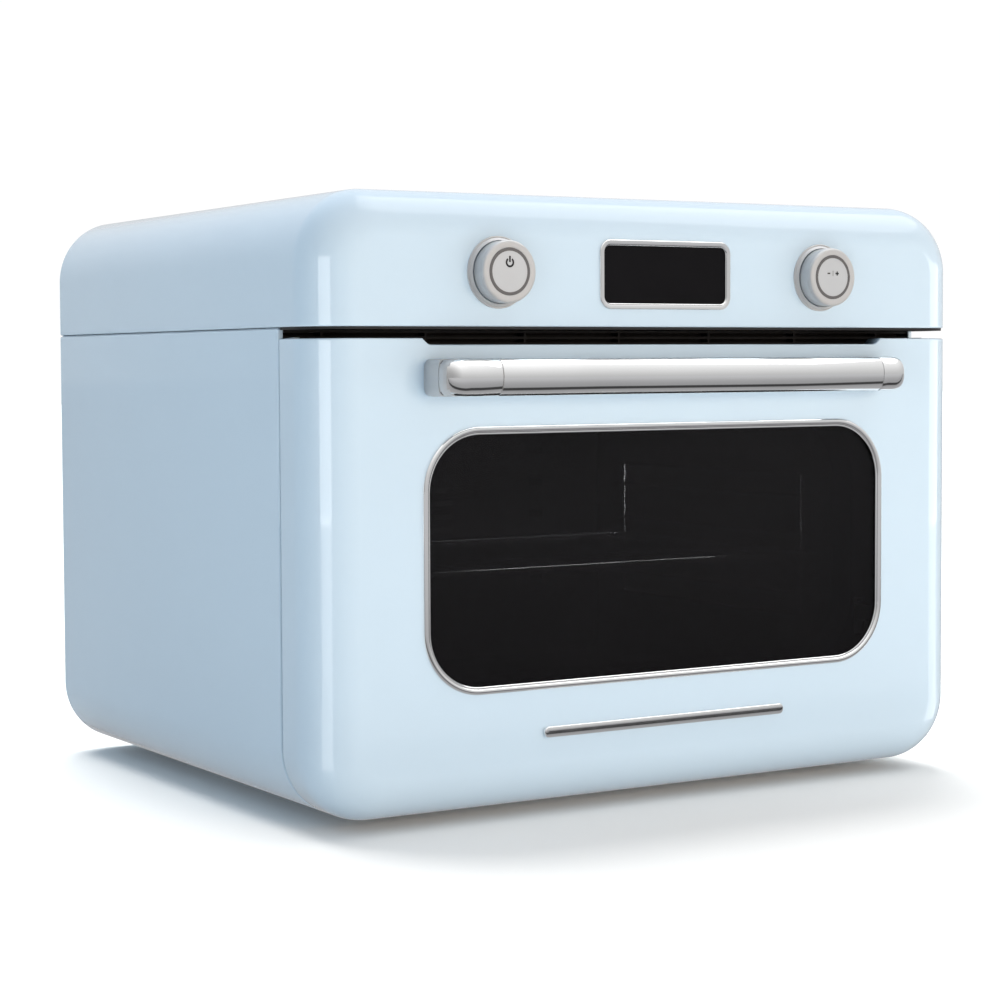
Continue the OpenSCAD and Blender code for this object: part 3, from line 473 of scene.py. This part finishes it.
def rings(bm, outline, profile, x=0.0, z=0.0, loop=False):
    """Sweeps a profile of (inset, y) round an outline, and returns its rings."""
    made = []
    for inset, y in profile:
        made.append([bm.verts.new((x + px - inset * nx, y, z + pz - inset * nz))
                     for px, pz, nx, nz in outline])
    pairs = list(zip(made, made[1:]))
    if loop:
        pairs.append((made[-1], made[0]))
    for a, b in pairs:
        for i in range(len(a)):
            j = (i + 1) % len(a)
            bm.faces.new((a[i], a[j], b[j], b[i]))
    return made


def ring_edges(bm, ring):
    pairs = zip(ring, ring[1:] + ring[:1])
    return [bm.edges.get(pair) or bm.edges.new(pair) for pair in pairs]


def outward(bm, test):
    """Turns the faces the right way, judged by one face that should look along test."""
    bmesh.ops.recalc_face_normals(bm, faces=bm.faces)
    bm.normal_update()
    best = max(bm.faces, key=lambda f: abs(f.normal.dot(test)) * f.calc_area())
    if best.normal.dot(test) < 0:
        bmesh.ops.reverse_faces(bm, faces=bm.faces)
    bm.normal_update()


def slice_at(bm, point, normal, clear=False):
    """Cuts the mesh along a plane. clear drops what lies on the normal's side."""
    bmesh.ops.bisect_plane(bm, geom=bm.verts[:] + bm.edges[:] + bm.faces[:], plane_co=point,
                           plane_no=normal, clear_outer=clear)


def hem(bm, cut_z, top_z, radius, flange, direction=1, steps=6):
    """Folds the sheet's open edge at cut_z inwards. top_z gives the edge's height at x, y.

    direction is 1 at an upper edge and -1 at a lower one. Small faces count nearly as much
    as large ones in the way that each point folds.
    """
    edges = [e for e in bm.edges if e.is_boundary
             and all(abs(v.co.z - cut_z) < 0.001 for v in e.verts)]
    verts = {v for e in edges for v in e.verts}
    inward = {}
    for v in verts:
        out = Vector((0, 0, 0))
        for f in v.link_faces:
            out += f.normal * f.calc_area() ** 0.25
        inward[v] = -Vector((out.x, out.y, 0)).normalized()
    rows = [(0.0, radius)]
    for i in range(1, steps + 1):
        a = math.radians(90 * i / steps)
        rows.append((radius * (1 - math.cos(a)), radius * (1 - math.sin(a))))
    rows.append((radius + flange, 0.0))
    last = {v: v for v in verts}
    for inset, below in rows:
        now = {}
        for v in verts:
            place = v.co + inward[v] * inset
            place.z = top_z(v.co.x, v.co.y) - direction * below
            now[v] = bm.verts.new(place)
        for e in edges:
            a, b = e.verts
            bm.faces.new((last[a], last[b], now[b], now[a]))
        last = now


def lathe(bm, profile, x, z, segments=96):
    """Turns a closed outline of (radius, y) about an axis along Y."""
    turns = [2 * math.pi * i / segments for i in range(segments)]
    verts = []
    for r, y in profile:
        if r < 1e-6:
            verts.append([bm.verts.new((x, y, z))] * segments)
        else:
            verts.append([bm.verts.new((x + r * math.cos(a), y, z + r * math.sin(a)))
                          for a in turns])
    for k in range(len(profile)):
        m = (k + 1) % len(profile)
        for i in range(segments):
            j = (i + 1) % segments
            corner = []
            for v in (verts[k][i], verts[k][j], verts[m][j], verts[m][i]):
                if v not in corner:
                    corner.append(v)
            if len(corner) > 2:
                bm.faces.new(corner)


# ---- sizes read from the frame, in millimetres ----

def in_body(node):
    """A node's lowest and highest corners from the door's front plane and the underside."""
    shift = Vector((0, FRONT, BOTTOM))
    return (low(node) - shift) / MM, (high(node) - shift) / MM


def face_on(node):
    """A node's width and height as seen from in front, and its middle in x and z."""
    a, b = in_body(node)
    return b.x - a.x, b.z - a.z, (a.x + b.x) / 2, (a.z + b.z) / 2


BODY_W = 2 * HALF_W / MM
BODY_D = (BACK - FRONT) / MM
BODY_H = (TOP - BOTTOM) / MM
SPLIT_Z = (SPLIT - BOTTOM) / MM
DOOR_Z = (DOOR_TOP - BOTTOM) / MM
DOOR_D = in_body("door_skin")[1].y
CORNER_R = 44.0      # body's corners, seen from in front
EDGE_R = 29.0        # rounding from the front round to the sides
FOLD_R = 1.2         # folds along the sheets' edges
LIP = 3.6            # width of the folded back edge
SHEET = 0.8
WINDOW_R = 39.5
DISPLAY_R = 8.0
OPENING_INSET = 1.5  # from the outside of a trim to the opening that it covers
SHAFT_HOLE_R = 9
BODY_OUTLINE = round_rect(BODY_W, BODY_H, CORNER_R, 24)
MID_Z = BODY_H / 2


def front_profile(depth, lip):
    """From the folded back edge at depth, along the side, round the front edge."""
    out = [(FOLD_R + lip, depth)]
    out += [(FOLD_R - x, depth - FOLD_R + y) for x, y in arc((0, 0), FOLD_R, 90, 0, 6)]
    out += [(0.0, EDGE_R + 0.6)]
    return out + [(EDGE_R - x, EDGE_R - y) for x, y in arc((0, 0), EDGE_R, 0, 90, 24)]


def fill_front(bm, ring, holes):
    """Closes the flat front inside a ring, round the holes."""
    edges = ring_edges(bm, ring)
    for outline, x, z in holes:
        hole = [bm.verts.new((x + px, 0, z + pz)) for px, pz, _, _ in outline]
        edges += ring_edges(bm, hole)
    bmesh.ops.triangle_fill(bm, use_beauty=True, use_dissolve=False, edges=edges)


def circle_outline(r, steps=64):
    turns = [2 * math.pi * i / steps for i in range(steps)]
    return [(r * math.cos(a), r * math.sin(a), math.cos(a), math.sin(a)) for a in turns]


def face_left_out(bm):
    """Turns the faces outwards, judged by the largest one on the body's left side."""
    bmesh.ops.recalc_face_normals(bm, faces=bm.faces)
    bm.normal_update()
    side = [f for f in bm.faces if f.calc_center_median().x < 1 - BODY_W / 2]
    if max(side, key=lambda f: f.calc_area()).normal.x > 0:
        bmesh.ops.reverse_faces(bm, faces=bm.faces)
        bm.normal_update()


def make_cover():
    """Upper casing: control panel, rounded front edge, top and sides in one sheet."""
    bm = bmesh.new()
    made = rings(bm, BODY_OUTLINE, front_profile(BODY_D, LIP), z=MID_Z)
    w, h, x, z = face_on("display_bezel")
    opening = round_rect(w - 2 * OPENING_INSET, h - 2 * OPENING_INSET, 5, 8)
    holes = [(opening, x, z)]
    for node in ("left_knob", "right_knob"):
        holes.append((circle_outline(SHAFT_HOLE_R), *face_on(node)[2:]))
    fill_front(bm, made[-1], holes)
    outward(bm, Vector((0, -1, 0)))
    flange = 3
    cut_z = SPLIT_Z + 3
    slice_at(bm, (0, 0, cut_z), (0, 0, -1), clear=True)
    hem(bm, cut_z, lambda x, y: SPLIT_Z, FOLD_R, flange, direction=-1)
    outward(bm, Vector((0, -1, 0)))
    add_piece("cover_shell", bm, "casing", "enamel", ["top_cover"], thickness=SHEET,
              flat_front=True)


def make_casing():
    """Lower casing: a wrap open in front, with its front and back edges folded in."""
    front_y = in_body("lower_casing")[0].y
    top = in_body("lower_casing")[1].z
    front_lip, top_fold_r, top_flange = 2.4, 1.0, 2.4
    profile = [(FOLD_R + front_lip, front_y)]
    profile += [(FOLD_R - x, front_y + FOLD_R - y) for x, y in arc((0, 0), FOLD_R, 90, 0, 6)]
    profile += [(FOLD_R - x, BODY_D - FOLD_R + y) for x, y in arc((0, 0), FOLD_R, 0, 90, 6)]
    profile += [(FOLD_R + LIP, BODY_D)]
    bm = bmesh.new()
    rings(bm, BODY_OUTLINE, profile, z=MID_Z)
    face_left_out(bm)
    cut_z = top - 3
    slice_at(bm, (0, 0, cut_z), (0, 0, 1), clear=True)
    hem(bm, cut_z, lambda x, y: top, top_fold_r, top_flange)
    face_left_out(bm)
    add_piece("casing_shell", bm, "casing", "enamel", ["lower_casing"], thickness=SHEET)


# The finger notch in the door's top edge. Each end runs down in a straight slope that eases
# into the flat: NOTCH_RUN is the width that the slope would take on its own, NOTCH_STRAIGHT
# the share of it before the ease begins, and NOTCH_END where the flat begins.
NOTCH_HALF = 177.0
NOTCH_RUN = 4.5
NOTCH_DEEP = 3.9
NOTCH_STRAIGHT = 0.6
NOTCH_END = 1.5
NOTCH_CUTS = 12


def notch_depth(x):
    """How far the door's top edge drops at x."""
    t = (NOTCH_HALF - abs(x)) / NOTCH_RUN
    if t <= 0:
        return 0.0
    if t >= NOTCH_END:
        return NOTCH_DEEP
    if t < NOTCH_STRAIGHT:
        return NOTCH_DEEP * t
    rest, ease = 1 - NOTCH_STRAIGHT, NOTCH_END - NOTCH_STRAIGHT
    s = (t - NOTCH_STRAIGHT) / ease
    return NOTCH_DEEP * (NOTCH_STRAIGHT + rest * (1 - (1 - s) ** (ease / rest)))


def make_door():
    """Door skin: window opening, finger notch, and a flange folded back along the top."""
    bm = bmesh.new()
    made = rings(bm, BODY_OUTLINE, front_profile(DOOR_D, LIP - 1), z=MID_Z)
    w, h, x, z = face_on("window_trim")
    opening = round_rect(w - 2 * OPENING_INSET, h - 2 * OPENING_INSET,
                         WINDOW_R - OPENING_INSET, 16)
    fill_front(bm, made[-1], [(opening, x, z)])
    outward(bm, Vector((0, -1, 0)))
    flange = 11
    cut_z = DOOR_Z - NOTCH_DEEP - 4
    slice_at(bm, (0, 0, cut_z), (0, 0, 1), clear=True)
    for i in range(NOTCH_CUTS + 1):
        cut_x = NOTCH_HALF + 0.01 - i * NOTCH_RUN * NOTCH_END / NOTCH_CUTS
        for side in (-1, 1):
            slice_at(bm, (side * cut_x, 0, 0), (1, 0, 0))

    def top(x, y):
        return DOOR_Z - (notch_depth(x) if y < 0.01 else 0.0)

    hem(bm, cut_z, top, FOLD_R, flange)
    outward(bm, Vector((0, -1, 0)))
    add_piece("door_shell", bm, "door", "enamel", ["door_skin"], thickness=SHEET,
              flat_front=True)


def make_trim():
    """Window trim: a half-round bead with a thin step against the glass."""
    w, h, x, z = face_on("window_trim")
    back = in_body("outer_glass")[0].y - 0.4
    proud = -in_body("window_trim")[0].y
    bead_r = 1.9
    bead = [(bead_r - bead_r * math.cos(a), -proud * math.sin(a) ** 0.8)
            for a in (math.radians(180 * i / 14) for i in range(1, 14))]
    profile = [(0.0, 0.0)] + bead + [(3.8, -0.15), (4.0, -0.35), (4.5, -0.35), (4.8, -0.1),
                                     (4.8, back), (1.7, back), (1.7, 0.0)]
    bm = bmesh.new()
    rings(bm, round_rect(w, h, WINDOW_R, 24), profile, x, z, loop=True)
    outward(bm, Vector((0, -1, 0)))
    add_piece("trim_ring", bm, "door", "chrome", ["window_trim"])


def make_display_frame():
    """Flat chrome frame with rounded edges that steps down to the black display."""
    w, h, x, z = face_on("display_bezel")
    inner, back = 3.6, 3.2
    profile = [(0.0, 0.0), (0.0, -0.6), (0.15, -0.95), (0.5, -1.2), (2.2, -1.2), (2.9, -0.95),
               (3.3, -0.3), (inner, -0.1), (inner, back), (1.7, back), (1.7, 0.0)]
    bm = bmesh.new()
    rings(bm, round_rect(w, h, DISPLAY_R, 10), profile, x, z, loop=True)
    outward(bm, Vector((0, -1, 0)))
    add_piece("display_frame", bm, "casing", "chrome", ["display_bezel"])


def make_knob_bases():
    """Flared rings that the knobs stand in."""
    bm = bmesh.new()
    for node in ("left_knob", "right_knob"):
        w, _, x, z = face_on(node)
        profile = [(0.25, 0.0), (0.25, -2.4), (0.4, -2.5), (0.6, -2.4), (1.9, -0.8),
                   (2.1, -0.6), (2.3, -0.8), (2.6, -0.8), (2.9, -0.55), (3.05, -0.2),
                   (3.05, 0.0)]
        lathe(bm, [(w / 2 + past, y) for past, y in profile], x, z)
    outward(bm, Vector((0, -1, 0)))
    add_piece("knob_bases", bm, "casing", "chrome", ["knob_bezels"], sharp=30,
              finish="satin_chrome")


RING_R = 14.2        # dark ring round the knob's disc
RING_GAP = 1.5       # width of the ring that shows
HUB_R, SHAFT_R, CUP_WALL = 8.0, 3.0, 2.2
CUP_EDGE_R = 1.5


def make_knob(hand, mark):
    """Cup-shaped chrome knob with its hub and shaft, a satin disc and a mark."""
    a, b = in_body(hand + "_knob")
    w, _, x, z = face_on(hand + "_knob")
    r, front = w / 2, a.y
    profile = [(0.0, front + 2.2), (RING_R + 0.1, front + 2.2), (RING_R + 0.1, front + 0.35),
               (RING_R + 0.35, front + 0.16), (r - 2.4, front), (r - CUP_EDGE_R, front + 0.02)]
    profile += [(r - CUP_EDGE_R + CUP_EDGE_R * math.sin(t),
                 front + 0.02 + CUP_EDGE_R - CUP_EDGE_R * math.cos(t))
                for t in (math.radians(15 * i) for i in range(1, 7))]
    profile += [(r, front + 2.3), (r - 0.3, front + 2.45), (r - 0.3, front + 2.75),
                (r - 0.05, front + 2.95), (r - 0.1, -3.2), (r - 0.35, -2.2),
                (r - CUP_WALL, -2.2), (r - CUP_WALL, front + 4.2), (HUB_R, front + 4.2),
                (HUB_R, 3.0), (SHAFT_R, 3.0), (SHAFT_R, b.y), (0.0, b.y)]
    bm = bmesh.new()
    lathe(bm, profile, x, z)
    outward(bm, Vector((0, -1, 0)))
    body = hand + "_button"
    add_piece(hand + "_knob_cup", bm, body, "chrome", [hand + "_knob"], sharp=20,
              finish="satin_chrome")

    disc_r = RING_R - RING_GAP
    y = front + 0.2
    bm = bmesh.new()
    lathe(bm, [(0.0, y), (disc_r - 0.35, y), (disc_r - 0.08, y + 0.1), (disc_r, y + 0.3),
               (disc_r, y + 2.0), (0.0, y + 2.0)], x, z)
    outward(bm, Vector((0, -1, 0)))
    add_piece(hand + "_knob_disc", bm, body, "satin_cap", [hand + "_knob_cap"], sharp=20)

    bm = bmesh.new()
    mark(bm, x, y - 0.06, z)
    outward(bm, Vector((0, -1, 0)))
    add_piece(hand + "_knob_mark", bm, body, "black_plastic", sharp=50)


def slab(bm, points, y, depth=0.08):
    """Thin flat mark from an outline (x, z)."""
    front = [bm.verts.new((px, y, pz)) for px, pz in points]
    back = [bm.verts.new((px, y + depth, pz)) for px, pz in points]
    bm.faces.new(front)
    bm.faces.new(back[::-1])
    for i in range(len(points)):
        j = (i + 1) % len(points)
        bm.faces.new((front[j], front[i], back[i], back[j]))


def bar(x0, x1, z0, z1):
    return [(x0, z0), (x1, z0), (x1, z1), (x0, z1)]


def power_mark(bm, x, y, z):
    """Open ring with an upright bar, above the disc's middle."""
    z += 5.4
    outer = arc((x, z), 3.0, 125, 415, 30)
    inner = arc((x, z), 1.8, 415, 125, 30)
    slab(bm, outer + inner, y)
    slab(bm, bar(x - 0.58, x + 0.58, z + 0.2, z + 3.9), y)


def set_mark(bm, x, y, z):
    """Minus, thin line and plus, above the disc's middle."""
    z += 2.4
    slab(bm, bar(x - 4.6, x - 2.4, z - 0.45, z + 0.45), y)
    slab(bm, bar(x - 0.14, x + 0.14, z - 1.7, z + 1.7), y)
    c, w, k = x + 3.5, 1.35, 0.45
    slab(bm, [(c - w, z - k), (c - k, z - k), (c - k, z - w), (c + k, z - w), (c + k, z - k),
              (c + w, z - k), (c + w, z + k), (c + k, z + k), (c + k, z + w), (c - k, z + w),
              (c - k, z + k), (c - w, z + k)], y)


def section(power, steps=48):
    """Points of a squared ellipse of half width and half height one."""
    out = []
    for i in range(steps):
        t = 2 * math.pi * i / steps
        c, s = math.cos(t), math.sin(t)
        out.append((math.copysign(abs(c) ** (2 / power), c),
                    math.copysign(abs(s) ** (2 / power), s)))
    return out


def loft(bm, stations, mid_z, half_h):
    """Skin over stations, each an outer point, an inner point, a power and a shrink."""
    made = []
    for (ox, oy), (ix, iy), power, shrink in stations:
        cx, cy = (ox + ix) / 2, (oy + iy) / 2
        hx, hy = (ox - ix) / 2, (oy - iy) / 2
        half = math.hypot(hx, hy)
        k = (half - shrink) / half
        made.append([bm.verts.new((cx + hx * k * u, cy + hy * k * u,
                                   mid_z + (half_h - shrink) * v)) for u, v in section(power)])
    for a, b in zip(made, made[1:]):
        for i in range(len(a)):
            j = (i + 1) % len(a)
            bm.faces.new((a[i], a[j], b[j], b[i]))
    bm.faces.new(made[0])
    bm.faces.new(made[-1][::-1])


# How square the handle's section is: 2 is an ellipse.
GRIP_POWER = 2.08
JOINT_POWER = 3.4
BASE_POWER = 4.5
SEAM = 0.18          # half the gap between the grip and each end piece
SEAM_EDGE = ((0.0, 0.35), (0.12, 0.1), (0.4, 0.0))  # distance from a seam, and shrink


def make_handle():
    """Grip between two cast end pieces."""
    a, b = in_body("handle_bar")
    mid_z, half_h = (a.z + b.z) / 2, (b.z - a.z) / 2
    along = [(a.x + SEAM + far, shrink) for far, shrink in SEAM_EDGE]
    along += [(a.x / 2, 0.0), (0.0, 0.0), (b.x / 2, 0.0)]
    along += [(b.x - SEAM - far, shrink) for far, shrink in SEAM_EDGE[::-1]]
    stations = [((x, a.y), (x, b.y), GRIP_POWER, shrink) for x, shrink in along]
    bm = bmesh.new()
    loft(bm, stations, mid_z, half_h)
    outward(bm, Vector((0, -1, 0)))
    add_piece("handle_grip", bm, "door", "chrome", ["handle_bar"], sharp=50)

    for hand, side in (("left", -1), ("right", 1)):
        make_handle_end("handle_end_" + hand, side, b.y, mid_z, half_h)


def make_handle_end(node, side, grip_back, mid_z, half_h):
    """Cast end piece: from the grip round the bend, across a joint line, to the door."""
    c, d = in_body(node)
    tip = max(abs(c.x), abs(d.x))
    start = min(abs(c.x), abs(d.x)) + SEAM
    front = c.y
    bend_r, inner_r, leg = 13.6, 3.0, 18.0
    inner_x, turn_x = tip - leg, tip - leg - inner_r
    stations = []

    def add(outer, inner, power, shrink=0.0):
        stations.append(((side * outer[0], outer[1]), (side * inner[0], inner[1]), power,
                         shrink))

    for far, shrink in SEAM_EDGE:
        add((start + far, front), (start + far, grip_back), GRIP_POWER, shrink)
    add((turn_x, front), (turn_x - 0.01, grip_back), GRIP_POWER)
    add(((turn_x + tip - bend_r) / 2, front), (turn_x + 0.3, grip_back), GRIP_POWER)
    add((tip - bend_r, front), (turn_x + 0.7, grip_back + 0.05), GRIP_POWER)
    steps = 14
    for i in range(1, steps + 1):
        t = math.radians(90 * i / steps)
        u = math.radians(15 + 75 * i / steps)
        add((tip - bend_r + bend_r * math.sin(t), front + bend_r - bend_r * math.cos(t)),
            (turn_x + inner_r * math.sin(u), grip_back + inner_r - inner_r * math.cos(u)),
            GRIP_POWER + 0.9 * i / steps)
    joint = front + bend_r + 0.6
    for y, shrink in ((joint, 0.0), (joint + 0.15, 0.3), (joint + 0.45, 0.3)):
        inner_y = max(y, grip_back + inner_r + 0.02 * y + 1)
        add((tip, y), (inner_x, inner_y), JOINT_POWER, shrink)
    for y, shrink in ((joint + 0.6, 0.0), (joint + 1.2, 0.0), (joint / 2, 0.0), (-0.6, 0.0),
                      (0.0, 0.25)):
        inner_y = max(y, joint + 4.5 + 0.3 * (y - joint) / 10)
        add((tip, y), (inner_x, inner_y), BASE_POWER, shrink)
    bm = bmesh.new()
    loft(bm, stations, mid_z, half_h)
    outward(bm, Vector((0, -1, 0)))
    cast = add_piece(node + "_cast", bm, "door", "chrome", [node], sharp=50)
    cast.data.materials.append(FINISHES["satin_chrome"])
    cast.data.materials.append(FINISHES["ring_grey"])
    # The faces in the joint's groove take the dark ring_grey finish: painted shade in the
    # groove. Faces past the middle of the bend take satin chrome.
    satin, painted_shade_groove = 1, 2
    for face in cast.data.polygons:
        y = (face.center.y - FRONT) / MM
        if joint < y < joint + 0.5:
            face.material_index = painted_shade_groove
        elif y > front + 0.55 * bend_r:
            face.material_index = satin


def make_grille_slats():
    """Sloping slats behind the vent grille's bars."""
    a, b = in_body("vent_grille")
    mid = (a.x + b.x) / 2
    half = (b.x - a.x) / 2 - 4
    count, rise, run, thick = 5, 2.6, 3.2, 0.45
    y = b.y - 4.5
    bm = bmesh.new()
    for i in range(count):
        z = a.z + 1.2 + (b.z - a.z - 4.4) * i / (count - 1)
        outline = [(y, z), (y + thick, z - 0.1), (y + run, z + rise - 0.1),
                   (y + run - thick, z + rise)]
        near, far = [[bm.verts.new((mid + side * half, py, pz)) for py, pz in outline]
                     for side in (-1, 1)]
        bm.faces.new(near)
        bm.faces.new(far[::-1])
        for k in range(4):
            m = (k + 1) % 4
            bm.faces.new((near[m], near[k], far[k], far[m]))
    bmesh.ops.recalc_face_normals(bm, faces=bm.faces)
    add_piece("grille_slats", bm, "casing", "black_plastic")


def make_badge():
    """Plain bar in place of a name."""
    front = in_body("door_badge")[0].y
    w, h, x, z = face_on("door_badge")
    profile = [(0.0, 0.0), (0.0, front + 0.9), (0.12, front + 0.5), (0.45, front + 0.15),
               (0.9, front), (h / 2 - 0.6, front)]
    bm = bmesh.new()
    made = rings(bm, round_rect(w, h, h / 2 - 0.4, 8), profile, x, z)
    bm.faces.new(made[-1])
    bm.faces.new(made[0][::-1])
    outward(bm, Vector((0, -1, 0)))
    add_piece("badge_bar", bm, "door", "chrome", ["door_badge"], sharp=50)


def shine_only_on(lights, pieces):
    """Keeps some lights to some pieces."""
    lit = bpy.data.collections.new(lights[0] + "_lit")
    for name in pieces:
        lit.objects.link(bpy.data.objects[name])
    for name in lights:
        bpy.data.objects[name].light_linking.receiver_collection = lit


def keep_off_chrome():
    """The side strips shine on the enamel and the floor, not on the chrome."""
    shine_only_on(["left_strip", "right_strip"],
                  ["cover_shell", "casing_shell", "door_shell", "floor"])
    shine_only_on(["left_wedge", "right_wedge"], ["cover_shell", "door_shell"])
    shine_only_on(["low_fill"], ["cover_shell", "door_shell"])


def light_the_shelf():
    """Faint light that picks the racks and the shelf out of the dark oven."""
    centre = middle("oven_cavity")
    place = (centre.x, low("oven_cavity").y + 0.02, centre.z + 0.04)
    area_light("shelf_glow", place, centre, (0.2, 0.1), 0.4)
    wires = ("rack_support_left", "rack_support_right", "wire_shelf")
    shine_only_on(["shelf_glow"], [frame["nodes"][name].name for name in wires])


bpy.context.scene.view_settings.view_transform = "Standard"
make_camera()
make_world()
make_floor()
make_apron()
make_wedges()
make_lights()
paint_frame()
make_cover()
make_casing()
make_door()
make_trim()
make_display_frame()
make_knob_bases()
make_knob("left", power_mark)
make_knob("right", set_mark)
make_handle()
make_grille_slats()
make_badge()
keep_off_chrome()
light_the_shelf()
